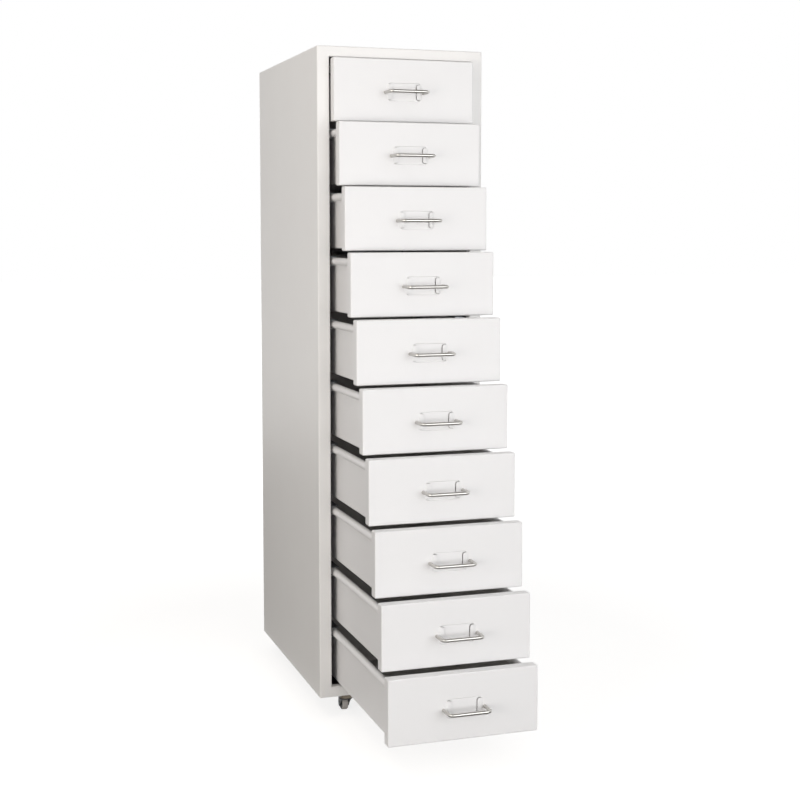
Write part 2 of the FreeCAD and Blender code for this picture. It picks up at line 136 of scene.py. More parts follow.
# The cosines that tell directions apart: within 3 degrees, and within 26.
same_way = 0.999
roughly_that_way = 0.9


def lies_along(edge, axis):
    """True if an edge runs along X, Y or Z, given as 0, 1 or 2."""
    run = (edge.verts[1].co - edge.verts[0].co).normalized()
    return abs(run[axis]) > same_way


def looks(face, axis, side):
    """True if a face looks along X, Y or Z, given as 0, 1 or 2, forwards (1) or back (-1)."""
    return face.normal[axis] * side > roughly_that_way


def is_fold(edge, least=30):
    """True for an edge where two faces meet at more than so many degrees."""
    return len(edge.link_faces) == 2 and edge.calc_face_angle() > math.radians(least)


def near(a, b, within=0.01 * MM):
    return abs(a - b) < within


def extrude_faces(by):
    bpy.ops.mesh.extrude_region_move(TRANSFORM_OT_translate={"value": by})


def extrude_edges(by):
    bpy.ops.mesh.extrude_edges_move(TRANSFORM_OT_translate={"value": by})


def apply_modifier(piece, kind, **settings):
    select_only(piece)
    modifier = piece.modifiers.new(kind.title(), kind)
    for name, value in settings.items():
        setattr(modifier, name, value)
    bpy.ops.object.modifier_apply(modifier=modifier.name)


def thicken(piece, thickness, offset):
    """Gives a sheet its thickness: offset -1 is inside its skin, 0 about its middle.

    The inside takes the piece's second material, where it has one."""
    apply_modifier(piece, "SOLIDIFY", thickness=thickness, offset=offset,
                   use_even_offset=True, material_offset=1)


def smooth(piece, angle=32):
    """Shades folds and rounds smooth while the flats stay flat."""
    select_only(piece)
    bpy.ops.object.shade_smooth_by_angle(angle=math.radians(angle))
    apply_modifier(piece, "WEIGHTED_NORMAL", keep_sharp=True, weight=80)


def fit(piece, body, slot, *nodes):
    """Rides a finished piece on its body, in the place of the CAD nodes that it stands for."""
    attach(piece, body)
    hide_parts(*nodes)


body = new_block("cabinet_body", body_low, body_high)
open_for_editing(body)
pick(body, "FACE", lambda face: looks(face, 1, 1))
bpy.ops.mesh.delete(type="ONLY_FACE")
pick(body, "FACE", lambda face: looks(face, 1, -1))
bpy.ops.mesh.inset(thickness=rear_flange)
inner_width = body_high.x - body_low.x - 2 * rear_flange
inner_height = body_high.z - body_low.z - 2 * rear_flange
opening_width = -2 * stile_edge
opening_height = opening_roof - opening_floor
body_middle = (body_low + body_high) / 2
bpy.ops.transform.resize(value=(opening_width / inner_width, 1, opening_height / inner_height),
                         center_override=(0, body_low.y, body_middle.z))
extrude_faces((0, frame_return, 0))
bpy.ops.mesh.delete(type="ONLY_FACE")
for side in (-1, 1):
    pick(body, "EDGE", lambda edge: lies_along(edge, 2)
         and near(middle(edge).x, side * body_high.x) and near(middle(edge).y, body_high.y))
    extrude_edges((-side * rear_flange, 0, 0))
pick(body, "EDGE", lambda edge: is_fold(edge)
     and not (lies_along(edge, 1) and abs(middle(edge).x) < body_high.x - rear_flange))
bpy.ops.mesh.bevel(offset=body_fold, segments=6, affect="EDGES", clamp_overlap=True)
close_editing()


# The coat: white polyester powder, sprayed and baked on phosphated steel. It
# gives a satin skin with a faint orange peel of about 1.5 mm, and tiny
# differences in gloss. The peel is drawn twice as coarse as it is, to show.
def linear(hex_colour):
    """An sRGB hex colour as the linear RGBA that a shader takes."""
    channels = [int(hex_colour[k:k + 2], 16) / 255 for k in (1, 3, 5)]
    return [c / 12.92 if c <= 0.04045 else ((c + 0.055) / 1.055) ** 2.4 for c in channels] + [1]


def add_node(owner, kind, settings=None, **links):
    """Adds a shader node to a material or to the world.

    Settings are properties or sockets, and links are sockets fed by others.
    A socket goes by its name, or by its number after a stroke, as in _6."""
    node = owner.node_tree.nodes.new(kind)

    def socket(name):
        return node.inputs[int(name[1:]) if name[0] == "_" else name]

    for name, value in (settings or {}).items():
        if name[0] == "_" or name in node.inputs:
            socket(name).default_value = value
        else:
            setattr(node, name, value)
    for name, source in links.items():
        owner.node_tree.links.new(source, socket(name))
    return node


def new_material(name):
    """An empty node material, with its Principled shader and Object coordinates."""
    material = bpy.data.materials.new(name)
    material.use_nodes = True
    shader = material.node_tree.nodes["Principled BSDF"]
    place = add_node(material, "ShaderNodeTexCoord").outputs["Object"]
    return material, shader, place


def feed(owner, source, shader, socket):
    owner.node_tree.links.new(source, shader.inputs[socket])


def tint_between(material, cloud, first, second):
    """A colour that drifts from one hex colour to another as a noise does."""
    return add_node(material, "ShaderNodeMix",
                    {"data_type": "RGBA", "_6": linear(first), "_7": linear(second)},
                    _0=cloud.outputs["Fac"]).outputs[2]


def powder_coat(name, colour, shade):
    material, shader, place = new_material(name)
    cloud = add_node(material, "ShaderNodeTexNoise", {"Scale": 9, "Detail": 3}, Vector=place)
    feed(material, tint_between(material, cloud, colour, shade), shader, "Base Color")
    gloss_cloud = add_node(material, "ShaderNodeTexNoise", {"Scale": 55, "Detail": 2}, Vector=place)
    gloss = add_node(material, "ShaderNodeMapRange", {"To Min": 0.34, "To Max": 0.46},
                     Value=gloss_cloud.outputs["Fac"])
    feed(material, gloss.outputs["Result"], shader, "Roughness")
    peel = add_node(material, "ShaderNodeTexNoise",
                    {"Scale": 330, "Detail": 2, "Roughness": 0.4}, Vector=place)
    bump = add_node(material, "ShaderNodeBump", {"Strength": 0.12, "Distance": 0.1 * MM},
                    Height=peel.outputs["Fac"])
    feed(material, bump.outputs["Normal"], shader, "Normal")
    shader.inputs["IOR"].default_value = 1.5
    return material


body_coat = powder_coat("white_polyester_powder_coat", "#f5f4f2", "#f2f0ee")
# The coat inside the closed body is painted grey: painted shade, so the inside stays dark through
# the gaps.
body_inside_painted_shade = powder_coat("thin_polyester_powder_coat", "#9b9894", "#85827e")
body.data.materials.append(body_coat)
body.data.materials.append(body_inside_painted_shade)
thicken(body, body_sheet, -1)
smooth(body)
fit(body, "cabinet", "white_powder_coat",
    "left_side_panel", "right_side_panel", "top_panel", "base_panel")


# --------------------------------------------------------------- back sheet
# One flat sheet of 1 mm steel behind the drawers. It sits inside the rear
# flanges of the side sheets and is held there by screws.
back_low, back_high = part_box("back_panel")
back_fit = 1.2 * MM
back_edge = 0.2 * MM
back = new_block("back_sheet", (back_low.x, back_low.y, body_low.z + back_fit),
                 (back_high.x, back_high.y, body_high.z - back_fit))
open_for_editing(back)
pick(back, "EDGE", is_fold)
bpy.ops.mesh.bevel(offset=back_edge, segments=2, affect="EDGES")
close_editing()
smooth(back)
back.data.materials.append(body_coat)
fit(back, "cabinet", "white_powder_coat", "back_panel")


# ---------------------------------------------------- screws and runners
# Bright zinc-plated fasteners and cold-rolled runner channels. The plating
# gives a cool, faintly cloudy grey with a soft sheen and fine rolling lines.
def zinc_plate(name, light, dark):
    material, shader, place = new_material(name)
    cloud = add_node(material, "ShaderNodeTexNoise", {"Scale": 120, "Detail": 4}, Vector=place)
    feed(material, tint_between(material, cloud, light, dark), shader, "Base Color")
    stretch = add_node(material, "ShaderNodeMapping", {"Scale": (1500, 12, 1500)}, Vector=place)
    lines = add_node(material, "ShaderNodeTexNoise", {"Scale": 1, "Detail": 3},
                     Vector=stretch.outputs["Vector"])
    gloss = add_node(material, "ShaderNodeMapRange", {"To Min": 0.28, "To Max": 0.48},
                     Value=lines.outputs["Fac"])
    feed(material, gloss.outputs["Result"], shader, "Roughness")
    shader.inputs["Metallic"].default_value = 1
    return material


zinc = zinc_plate("bright_zinc_plate", "#b9bcbf", "#8f9397")
# The castor plates take a dark, warm zinc: painted shade for the shadow they sit in under the
# cabinet.
castor_plate_zinc_painted_shade = zinc_plate("dulled_yellow_zinc_plate", "#7d7568", "#59534a")
drawers = sorted(name for name in frame["bodies"] if name.startswith("drawer_"))
zinc_nodes = ["panel_screws", "left_runners", "right_runners", "castor_plates", "castor_screws"]
zinc_nodes += [name + "_handle_screws" for name in drawers]
for name in zinc_nodes:
    plated = frame["nodes"][name]
    plated.data.materials.clear()
    plated.data.materials.append(castor_plate_zinc_painted_shade if name == "castor_plates" else zinc)


# ------------------------------------------------------------ drawer trays
# A tray is folded from 0.8 mm steel. The top of each side wall is rolled into
# a tube that slides in the runner, and leaves a crease where it meets the
# wall. Front and rear walls are spot-welded in.
drawer_sheet = 0.8 * MM
bead_radius = 6 * MM
bead_shift = 1.8 * MM
bead_gap = 12
tray_fold = 1.2 * MM
tray_inset = 10.3 * MM
tray_lift = 3.2 * MM
tray_front_drop = 2 * MM
bead_drop = 9.4 * MM
front_depth = 18 * MM
front_low, front_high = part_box("drawer_01_front")
front_low = Vector((front_low.x, front_high.y - front_depth, front_low.z))
tray_high_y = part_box("drawer_01_tray")[1].y
half_sheet = drawer_sheet / 2


def new_tray(name):
    wall_x = front_high.x - tray_inset - half_sheet
    floor_z = front_low.z + tray_lift + half_sheet
    bead_x = wall_x + half_sheet + bead_shift
    bead_z = front_high.z - bead_drop - bead_radius
    roll_radius = bead_radius - half_sheet
    roll_side = wall_x - bead_x
    wall_top = bead_z - math.sqrt(roll_radius ** 2 - roll_side ** 2)
    tray = new_block(name, (-wall_x, front_high.y, floor_z), (wall_x, tray_high_y, wall_top))
    open_for_editing(tray)
    pick(tray, "FACE", lambda face: looks(face, 2, 1) or looks(face, 1, 1) or looks(face, 1, -1))
    bpy.ops.mesh.delete(type="ONLY_FACE")
    pick(tray, "EDGE", lambda edge: edge.is_wire)
    bpy.ops.mesh.delete(type="EDGE")
    pick(tray, "EDGE", is_fold)
    bpy.ops.mesh.bevel(offset=tray_fold, segments=5, affect="EDGES")
    for side in (-1, 1):
        pick(tray, "EDGE", lambda edge: lies_along(edge, 1)
             and near(middle(edge).z, wall_top) and near(middle(edge).x, side * wall_x))
        bpy.ops.mesh.spin(steps=30, angle=side * math.radians(360 - bead_gap), axis=(0, 1, 0),
                          center=(side * bead_x, 0, bead_z))
    close_editing()
    return tray


def new_wall(name, y, half_width, low_z, high_z, step_z, step_out, step_above):
    """An upright plate across the tray, stepped out at each side above or below a height."""
    wall = new_block(name, (-half_width, y, low_z), (half_width, y + drawer_sheet, high_z))
    open_for_editing(wall)
    bpy.ops.mesh.select_all(action="SELECT")
    bpy.ops.mesh.bisect(plane_co=(0, y, step_z), plane_no=(0, 0, 1))
    for side in (-1, 1):
        pick(wall, "FACE", lambda face: looks(face, 0, side)
             and (face.calc_center_median().z > step_z) == step_above)
        extrude_faces((side * step_out, 0, 0))
    close_editing()
    return wall


def cut(piece, cutter):
    """Cuts one solid out of another, and removes the cutter."""
    apply_modifier(piece, "BOOLEAN", object=cutter, operation="DIFFERENCE", solver="EXACT")
    bpy.data.objects.remove(cutter)


def new_rod(name, middle_point, radius, length, axis, sides=32):
    """A cylinder primitive about a point, along X, Y or Z, given as 0, 1 or 2."""
    deselect()
    turn = [(0, math.pi / 2, 0), (math.pi / 2, 0, 0), (0, 0, 0)][axis]
    bpy.ops.mesh.primitive_cylinder_add(vertices=sides, radius=radius, depth=length,
                                        location=middle_point, rotation=turn)
    return settle(bpy.context.object, name)


def join(piece, others):
    """Joins other objects into a piece."""
    select_only(piece)
    for other in others:
        other.select_set(True)
    bpy.ops.object.join()
    return piece


def copy_to(piece, name, shift):
    """A copy of a piece, with its own mesh, moved by a shift."""
    select_only(piece)
    bpy.ops.object.duplicate(linked=False)
    bpy.context.object.location = shift
    return settle(bpy.context.object, name)


handle_spacing = 64 * MM
handle_drop = 53 * MM
screw_access = 7 * MM
tray_half = front_high.x - tray_inset
tray_foot = front_low.z + tray_lift + half_sheet
bead_top = front_high.z - bead_drop
bead_foot = bead_top - 2 * bead_radius
bead_inside = tray_half + bead_shift - bead_radius
ear_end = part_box("drawer_01_tray")[1].x
tray = new_tray("drawer_01_tray_sheet")
# The drawers are coated after welding, like the body, in the same satin white.
# Inside the tray the coat is painted greyer: painted shade for the dim inside of the drawers.
drawer_coat = powder_coat("white_polyester_powder_coat_drawers", "#f3f2f2", "#f0efef")
tray_inside_painted_shade = powder_coat("white_polyester_powder_coat_tray_inside", "#d9d7d4", "#cfccc8")
tray.data.materials.append(drawer_coat)
tray.data.materials.append(tray_inside_painted_shade)
thicken(tray, drawer_sheet, 0)
front_wall = new_wall("tray_front_wall", front_high.y, bead_inside - half_sheet, tray_foot,
                      front_high.z - tray_front_drop, bead_foot, tray_half - bead_inside, False)
for side in (-1, 1):
    access = (side * handle_spacing / 2, front_high.y, front_high.z - handle_drop)
    cut(front_wall, new_rod("access_hole", access, screw_access, 4 * drawer_sheet, 1))
rear_wall = new_wall("tray_rear_wall", tray_high_y - drawer_sheet, tray_half - half_sheet,
                     tray_foot, bead_top - half_sheet, bead_foot + half_sheet,
                     ear_end - tray_half + half_sheet, True)
# The front and rear walls take the tray's grey inside coat, which is painted shade.
for wall in (front_wall, rear_wall):
    wall.data.materials.append(tray_inside_painted_shade)
tray = join(tray, [front_wall, rear_wall])
smooth(tray)


# ------------------------------------------------------------ drawer fronts
# A front is a pan folded from 0.8 mm steel, with rounded front edges and lips
# folded in behind. A shallow label seat is pressed into its face, and a lanced
# tab at each end of the seat holds the label's edge.
front_round = 2 * MM
lip_round = 0.9 * MM
lip_side = 14 * MM
lip_edge = 8 * MM
seat_width = 53 * MM
seat_height = 29 * MM
seat_depth = 1.2 * MM
seat_slope = 0.7 * MM
seat_corner = 3 * MM
seat_drop = 52 * MM
tab_width = 6 * MM
tab_height = 24 * MM
tab_rise = 1.0 * MM
tab_ramp = 2.6 * MM
tab_corner = 3.2 * MM
tab_relief = 0.55 * MM
tab_edge = 0.15 * MM
blank_rise = 1 * MM
blank_depth = 4 * MM
seat_edge = 0.35 * MM
front_width = front_high.x - front_low.x
seat_z = front_high.z - seat_drop
front_y = front_low.y


def new_front_pan(name):
    """The folded pan, as a skin with an open window behind."""
    pan = new_block(name, front_low, front_high)
    open_for_editing(pan)
    pick(pan, "FACE", lambda face: looks(face, 1, 1))
    bpy.ops.mesh.inset(thickness=lip_edge)
    narrower = (front_width - 2 * lip_side) / (front_width - 2 * lip_edge)
    bpy.ops.transform.resize(value=(narrower, 1, 1),
                             center_override=(0, front_high.y, front_high.z))
    bpy.ops.mesh.delete(type="ONLY_FACE")
    pick(pan, "EDGE", lambda edge: is_fold(edge) and middle(edge).y < front_high.y - MM)
    bpy.ops.mesh.bevel(offset=front_round, segments=6, affect="EDGES")
    pick(pan, "EDGE", lambda edge: is_fold(edge) and near(middle(edge).y, front_high.y))
    bpy.ops.mesh.bevel(offset=lip_round, segments=3, affect="EDGES")
    close_editing()
    return pan


def press_label_seat(pan):
    """Bridges a round-cornered seat into the pan's face and presses it in."""
    open_for_editing(pan)
    pick(pan, "FACE", lambda face: face.normal.y < -same_way)
    bpy.ops.mesh.inset(thickness=lip_side)
    bpy.ops.mesh.delete(type="ONLY_FACE")
    close_editing()
    deselect()
    bpy.ops.mesh.primitive_plane_add(size=1, location=(0, front_y, seat_z),
                                     rotation=(math.pi / 2, 0, 0))
    bpy.ops.transform.resize(value=(seat_width, 1, seat_height),
                             center_override=(0, front_y, seat_z))
    seat = settle(bpy.context.object, "label_seat")
    open_for_editing(seat)
    bpy.ops.mesh.select_all(action="SELECT")
    bpy.ops.mesh.bevel(offset=seat_corner, segments=6, affect="VERTICES")
    close_editing()
    join(pan, [seat])
    open_for_editing(pan)
    pick(pan, "EDGE", lambda edge: edge.is_boundary and near(middle(edge).y, front_y))
    bpy.ops.mesh.bridge_edge_loops()
    # The seat is the only face there with many corners: those of its four rounds.
    pick(pan, "FACE", lambda face: face.normal.y < -same_way and len(face.verts) > 8)
    bpy.ops.mesh.inset(thickness=seat_slope, depth=-seat_depth)
    close_editing()


def soften_label_seat(pan):
    """Rounds the seat's rim and floor, once the sheet has its thickness."""
    open_for_editing(pan)
    pick(pan, "EDGE", lambda edge: is_fold(edge) and abs(middle(edge).x) < seat_width / 2 + MM
         and (near(middle(edge).y, front_y) or near(middle(edge).y, front_y + seat_depth)))
    bpy.ops.mesh.bevel(offset=seat_edge, segments=3, affect="EDGES")
    close_editing()


def new_label_tab(side):
    """A lanced tab: it ramps up out of the face and stands just clear of the seat's end."""
    root = seat_width / 2
    low = (min(side * root, side * (root - tab_width)), front_y - tab_rise,
           seat_z - tab_height / 2)
    high = (low[0] + tab_width, front_y - tab_rise + drawer_sheet, seat_z + tab_height / 2)
    tab = new_block("label_tab", low, high)
    open_for_editing(tab)
    pick(tab, "FACE", lambda face: looks(face, 0, side))
    extrude_faces((side * tab_ramp, tab_rise, 0))
    pick(tab, "EDGE", lambda edge: lies_along(edge, 1)
         and near(middle(edge).x, side * (root - tab_width)))
    bpy.ops.mesh.bevel(offset=tab_corner, segments=6, affect="EDGES")
    pick(tab, "EDGE", lambda edge: is_fold(edge, 80)
         and near(middle(edge).y, front_y - tab_rise))
    bpy.ops.mesh.bevel(offset=tab_edge, segments=2, affect="EDGES")
    close_editing()
    return tab


def new_tab_blank(side):
    """What is cut out for a tab: its outline and the slit round it, through the sheet."""
    centre = Vector((side * (seat_width - tab_width) / 2, front_y, seat_z))
    half = Vector((tab_width / 2 + tab_relief, 0, tab_height / 2 + tab_relief))
    before, behind = Vector((0, blank_rise, 0)), Vector((0, blank_depth, 0))
    blank = new_block("tab_blank", centre - half - before, centre + half + behind)
    open_for_editing(blank)
    pick(blank, "EDGE", lambda edge: lies_along(edge, 1)
         and side * (middle(edge).x - centre.x) < 0)
    bpy.ops.mesh.bevel(offset=tab_corner + tab_relief, segments=6, affect="EDGES")
    close_editing()
    return blank


front = new_front_pan("drawer_01_front_pan")
press_label_seat(front)
thicken(front, drawer_sheet, -1)
soften_label_seat(front)
tabs = []
for side in (-1, 1):
    cut(front, new_tab_blank(side))
    tabs.append(new_label_tab(side))
front = join(front, tabs)
smooth(front)
front.data.materials.append(drawer_coat)


# ------------------------------------------------------------- bail handles
# Each handle is one length of 5.5 mm drawn steel rod, bent twice to a bail and
# nickel plated. Its two legs are tapped, and held by screws from behind.
handle_rod = 5.5 * MM
handle_reach = 30 * MM
handle_bend = 7 * MM


def new_handle(name):
    leg_x = handle_spacing / 2
    bar_y = front_y - handle_reach + handle_rod / 2
    handle_z = front_high.z - handle_drop
    deselect()
    bpy.ops.mesh.primitive_circle_add(vertices=28, radius=handle_rod / 2, fill_type="NOTHING",
                                      location=(-leg_x, front_y, handle_z),
                                      rotation=(math.pi / 2, 0, 0))
    handle = settle(bpy.context.object, name)
    open_for_editing(handle)
    bpy.ops.mesh.select_all(action="SELECT")
    extrude_edges((0, bar_y + handle_bend - front_y, 0))
    bpy.ops.mesh.spin(steps=10, angle=-math.pi / 2, axis=(0, 0, 1),
                      center=(-leg_x + handle_bend, bar_y + handle_bend, handle_z))
    extrude_edges((2 * leg_x - 2 * handle_bend, 0, 0))
    bpy.ops.mesh.spin(steps=10, angle=-math.pi / 2, axis=(0, 0, 1),
                      center=(leg_x - handle_bend, bar_y + handle_bend, handle_z))
    extrude_edges((0, front_y - bar_y - handle_bend, 0))
    pick(handle, "EDGE", lambda edge: edge.is_boundary)
    bpy.ops.mesh.edge_face_add()
    bpy.ops.mesh.select_all(action="SELECT")
    bpy.ops.mesh.normals_make_consistent(inside=False)
    close_editing()
    return handle


def nickel_plate(name):
    """A warm grey metal, whose fine drawing lines along the rod soften what it mirrors."""
    material, shader, place = new_material(name)
    stretch = add_node(material, "ShaderNodeMapping", {"Scale": (25, 2500, 2500)}, Vector=place)
    lines = add_node(material, "ShaderNodeTexNoise", {"Scale": 1, "Detail": 3},
                     Vector=stretch.outputs["Vector"])
    gloss = add_node(material, "ShaderNodeMapRange", {"To Min": 0.24, "To Max": 0.34},
                     Value=lines.outputs["Fac"])
    feed(material, gloss.outputs["Result"], shader, "Roughness")
    cloud = add_node(material, "ShaderNodeTexNoise", {"Scale": 60, "Detail": 2}, Vector=place)
    feed(material, tint_between(material, cloud, "#cac8c4", "#bcbab5"), shader, "Base Color")
    shader.inputs["Metallic"].default_value = 1
    return material


handle = new_handle("drawer_01_handle_rod")
smooth(handle, angle=50)
handle.data.materials.append(nickel_plate("satin_nickel_plated_rod"))


# --------------------------------------------------------- the other drawers
# All ten drawers are alike, so each is a copy of the top one, moved to where
# its own front stands.
for drawer in drawers:
    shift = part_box(drawer + "_front")[1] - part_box("drawer_01_front")[1]
    placed = [tray, front, handle]
    if drawer != "drawer_01":
        placed = [copy_to(piece, piece.name.replace("drawer_01", drawer), shift)
                  for piece in placed]
    fit(placed[0], drawer, "drawer_powder_coat", drawer + "_tray")
    fit(placed[1], drawer, "drawer_powder_coat", drawer + "_front")
    fit(placed[2], drawer, "bright_steel_rod", drawer + "_handle")


# ------------------------------------------------------------------- castors
# Four small furniture castors. The fork is a strip of black-passivated steel
# folded round the wheel, with a round crown that turns under the race, and
# bright rivets for kingpin and axle. The wheel is moulded nylon, with a dark
# core and a pale grey tread.
joints = {joint["name"]: joint for joint in frame["joints"]}
swivel = Vector(joints["castor_front_left_swivel"]["pos_m"])
axle = Vector(joints["castor_front_left_roll"]["pos_m"])
fork_sheet = 1.5 * MM
fork_outer = 8.3 * MM
fork_fold = 2.5 * MM
fork_top = 24.7 * MM
crown_radius = 11.5 * MM
crown_rise = 0.06 * MM
crown_edge = 0.3 * MM
axle_radius = 1.5 * MM
axle_head = 2.5 * MM
axle_head_height = 0.9 * MM
kingpin_radius = 2.5 * MM
kingpin_head = 4.25 * MM
kingpin_head_height = 1.0 * MM
cheek_nose = 5 * MM
cheek_front = 7 * MM
cheek_rear = 3 * MM
wheel_radius = 11 * MM
wheel_half = 5.5 * MM
wheel_round = 2.5 * MM
tread_root = wheel_radius - 1.2 * MM
recess_radius = 7.5 * MM
recess_depth = 1.5 * MM
hub_radius = 4 * MM
hub_half = 6.4 * MM
hub_edge = 0.35 * MM


def new_fork(name):
    """Cheeks and bridge folded from one strip, with a nose round the axle."""
    deselect()
    bpy.ops.mesh.primitive_circle_add(vertices=32, radius=cheek_nose, fill_type="NGON",
                                      location=(axle.x - fork_outer, axle.y, axle.z),
                                      rotation=(0, -math.pi / 2, 0))
    fork = settle(bpy.context.object, name)
    open_for_editing(fork)
    bpy.ops.mesh.select_all(action="SELECT")
    bpy.ops.mesh.bisect(plane_co=axle, plane_no=(0, 0, 1), clear_outer=True)
    pick(fork, "EDGE", lambda edge: near(middle(edge).z, axle.z) and lies_along(edge, 1))
    extrude_edges((0, 0, fork_top - axle.z))
    rear_y = axle.y + cheek_rear
    front_edge_y = swivel.y - cheek_front
    bpy.ops.transform.resize(value=(1, (rear_y - front_edge_y) / (2 * cheek_nose), 1),
                             center_override=(axle.x, axle.y, fork_top))
    bpy.ops.transform.translate(value=(0, (rear_y + front_edge_y) / 2 - axle.y, 0))
    bpy.ops.mesh.select_all(action="SELECT")
    extrude_faces((2 * fork_outer, 0, 0))
    bpy.ops.mesh.select_all(action="SELECT")
    bpy.ops.mesh.normals_make_consistent(inside=False)
    pick(fork, "FACE", lambda face: not any(
        looks(face, axis, side) for axis, side in ((0, -1), (0, 1), (2, 1))))
    bpy.ops.mesh.delete(type="FACE")
    pick(fork, "EDGE", is_fold)
    bpy.ops.mesh.bevel(offset=fork_fold, segments=6, affect="EDGES")
    close_editing()
    thicken(fork, fork_sheet, -1)
    return fork


def round_rims(piece, offset):
    """Rounds the square rims of a round piece that is open for editing."""
    pick(piece, "EDGE", lambda edge: is_fold(edge, 60))
    bpy.ops.mesh.bevel(offset=offset, segments=2, affect="EDGES")


def grow_head(piece, axis, side, wider, height, rounding=0.7):
    """Extrudes the end of a pin, on one side of it, into a wider head, rounded in a share of it."""
    open_for_editing(piece)
    pick(piece, "FACE", lambda face: looks(face, axis, side))
    end = bmesh.from_edit_mesh(piece.data)
    centre = [face for face in end.faces if face.select][0].calc_center_median()
    extrude_faces((0, 0, 0))
    scale = [wider] * 3
    scale[axis] = 1
    bpy.ops.transform.resize(value=scale, center_override=centre)
    rise = [0, 0, 0]
    rise[axis] = side * height
    extrude_faces(rise)
    bpy.ops.mesh.bevel(offset=height * rounding, segments=4, affect="EDGES")
    bpy.ops.mesh.select_all(action="SELECT")
    bpy.ops.mesh.normals_make_consistent(inside=False)
    close_editing()


def new_wheel(name):
    wheel = new_rod(name, axle, wheel_radius, 2 * wheel_half, 0, sides=56)
    open_for_editing(wheel)
    for side in (-1, 1):
        pick(wheel, "FACE", lambda face: looks(face, 0, side))
        bpy.ops.mesh.inset(thickness=wheel_radius - recess_radius)
        extrude_faces((-side * recess_depth, 0, 0))
        bpy.ops.mesh.inset(thickness=recess_radius - hub_radius)
        extrude_faces((side * (recess_depth + hub_half - wheel_half), 0, 0))
    pick(wheel, "EDGE", lambda edge: is_fold(edge)
         and near(abs(middle(edge).x - axle.x), wheel_half)
         and (middle(edge) - axle).length > wheel_radius)
    bpy.ops.mesh.bevel(offset=wheel_round, segments=5, affect="EDGES")
    round_rims(wheel, hub_edge)
    close_editing()
    return wheel


def give_tread(wheel, tread):
    """Gives the faces that roll on the floor, out to the shoulders, the tread's material."""
    wheel.data.materials.append(tread)
    open_for_editing(wheel)
    pick(wheel, "FACE", lambda face: math.hypot(face.calc_center_median().y - axle.y,
                                                face.calc_center_median().z - axle.z) > tread_root)
    wheel.active_material_index = 1
    bpy.ops.object.material_slot_assign()
    close_editing()


def black_zinc(name):
    """Zinc plate under a black passivate: cloudy, nearly black, with a dull metallic sheen."""
    material, shader, place = new_material(name)
    cloud = add_node(material, "ShaderNodeTexNoise", {"Scale": 400, "Detail": 3}, Vector=place)
    feed(material, tint_between(material, cloud, "#26272a", "#3a3a3c"), shader, "Base Color")
    shader.inputs["Roughness"].default_value = 0.42
    shader.inputs["Metallic"].default_value = 0.6
    return material


def moulded(name, light, dark, roughness):
    """Moulded nylon: a matt plastic, mottled and faintly rough from rolling."""
    material, shader, place = new_material(name)
    cloud = add_node(material, "ShaderNodeTexNoise", {"Scale": 260, "Detail": 4}, Vector=place)
    feed(material, tint_between(material, cloud, dark, light), shader, "Base Color")
    bump = add_node(material, "ShaderNodeBump", {"Strength": 0.2, "Distance": 0.1 * MM},
                    Height=cloud.outputs["Fac"])
    feed(material, bump.outputs["Normal"], shader, "Normal")
    shader.inputs["Roughness"].default_value = roughness
    return material


fork = new_fork("castor_front_left_fork_strip")
crown_middle = (swivel.x, swivel.y, fork_top - fork_sheet / 2)
crown = new_rod("crown", crown_middle, crown_radius, fork_sheet + crown_rise, 2, sides=48)
open_for_editing(crown)
round_rims(crown, crown_edge)
close_editing()
fork = join(fork, [crown])
fork.data.materials.append(black_zinc("black_passivated_zinc"))
axle_pin = new_rod("axle_pin", axle, axle_radius, 2 * fork_outer, 0, sides=28)
for side in (-1, 1):
    grow_head(axle_pin, 0, side, axle_head / axle_radius, axle_head_height)
kingpin_low = fork_top - fork_sheet
kingpin_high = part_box("castor_front_left_fork")[1].z
kingpin = new_rod("kingpin", (swivel.x, swivel.y, (kingpin_low + kingpin_high) / 2),
                  kingpin_radius, kingpin_high - kingpin_low, 2, sides=28)
grow_head(kingpin, 2, -1, kingpin_head / kingpin_radius, kingpin_head_height)
rivets = join(axle_pin, [kingpin])
rivets.data.materials.append(zinc)
fork = join(fork, [rivets])
smooth(fork)
wheel = new_wheel("castor_front_left_nylon_wheel")
smooth(wheel)
wheel.data.materials.append(moulded("moulded_black_nylon_core", "#3b3a39", "#2c2b2b", 0.45))
give_tread(wheel, moulded("moulded_grey_nylon_tread", "#c2bdb9", "#aba5a1", 0.6))

for corner in ("front_left", "front_right", "rear_left", "rear_right"):
    castor = "castor_" + corner
    shift = Vector(joints[castor + "_swivel"]["pos_m"]) - swivel
    placed = [fork, wheel]
    if corner != "front_left":
        placed = [copy_to(piece, piece.name.replace("front_left", corner), shift)
                  for piece in placed]
    fit(placed[0], castor + "_fork", "black_zinc_steel", castor + "_fork")
    fit(placed[1], castor + "_wheel", "grey_nylon", castor + "_wheel")


# -------------------------------------------------------------------- studio
# A pale floor that reads as white to the camera and still takes the cabinet's
# soft shadow, a white surround, large soft lamps, and dark cards that only
# reflections see.
floor_size = 40
matt = 0.9
dim_floor_radius = 0.6
bright_floor_radius = 2.2
dim_floor_glow = 0.77
surround_fill = 0.30


def seen_directly(owner):
    """1 where the camera, a reflection or a clear view looks, and 0 for light falling on things."""
    path = add_node(owner, "ShaderNodeLightPath")
    total = path.outputs["Is Camera Ray"]
    for name in ("Is Glossy Ray", "Is Transmission Ray"):
        total = add_node(owner, "ShaderNodeMath", {"operation": "MAXIMUM"},
                         _0=total, _1=path.outputs[name]).outputs[0]
    return total


deselect()
bpy.ops.mesh.primitive_plane_add(size=floor_size, location=(0, 0, 0))
floor = settle(bpy.context.object, "studio_floor")
floor_paint, paint, floor_place = new_material("pale_studio_floor")
paint.inputs["Base Color"].default_value = linear("#bebcb9")
paint.inputs["Roughness"].default_value = matt
paint.inputs["Specular IOR Level"].default_value = 0
paint.inputs["Emission Color"].default_value = (1, 1, 1, 1)
